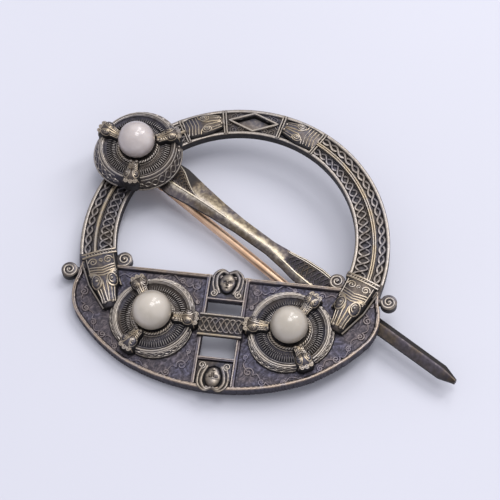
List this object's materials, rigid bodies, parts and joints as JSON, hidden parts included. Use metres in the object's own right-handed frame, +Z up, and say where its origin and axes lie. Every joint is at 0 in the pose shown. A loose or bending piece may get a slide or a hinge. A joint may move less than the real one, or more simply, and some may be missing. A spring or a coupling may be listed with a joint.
{
  "type": "penannular brooch",
  "caption": "Ring brooch of oxidised silver with a wide interlaced terminal plate, domed pearl bosses, an ornamental pin and a hinged gold fastening stem.",
  "frame": {"origin": "middle of the part's bounding box at the height of the surface it lies on", "axes": "+Z up, out of the ornamented face; +X right along the plate's straight edge; +Y to the top of the hoop"},
  "size_m": [0.0736, 0.058, 0.0156],
  "materials": {
    "silver": "oxidised silver, dark in the recesses, with worn pale gilt on the high points",
    "gold": "polished rose gold",
    "pearl_cream": "cream pearl lustre",
    "pearl_rose": "pinkish grey pearl lustre"
  },
  "bodies": {
    "brooch": {"hoop": "silver", "terminal_plate": "silver", "boss_left": "silver", "boss_right": "silver", "bridge_bar": "silver", "pearl_left": "pearl_cream", "pearl_right": "pearl_cream", "pearl_head": "pearl_rose", "pin_head": "silver", "pin_shaft": "silver", "hinge_bracket": "gold", "hinge_pin": "gold", "catch": "gold"},
    "stem": {"stem": "gold"}
  },
  "joints": [
    {"name": "stem_swing", "type": "hinge", "parent": "brooch", "child": "stem", "pos_m": [-0.02526, 0.016, 0.00202], "axis": [0.4893, 0.6941, 0.528], "range_deg": [0, 70]}
  ]
}
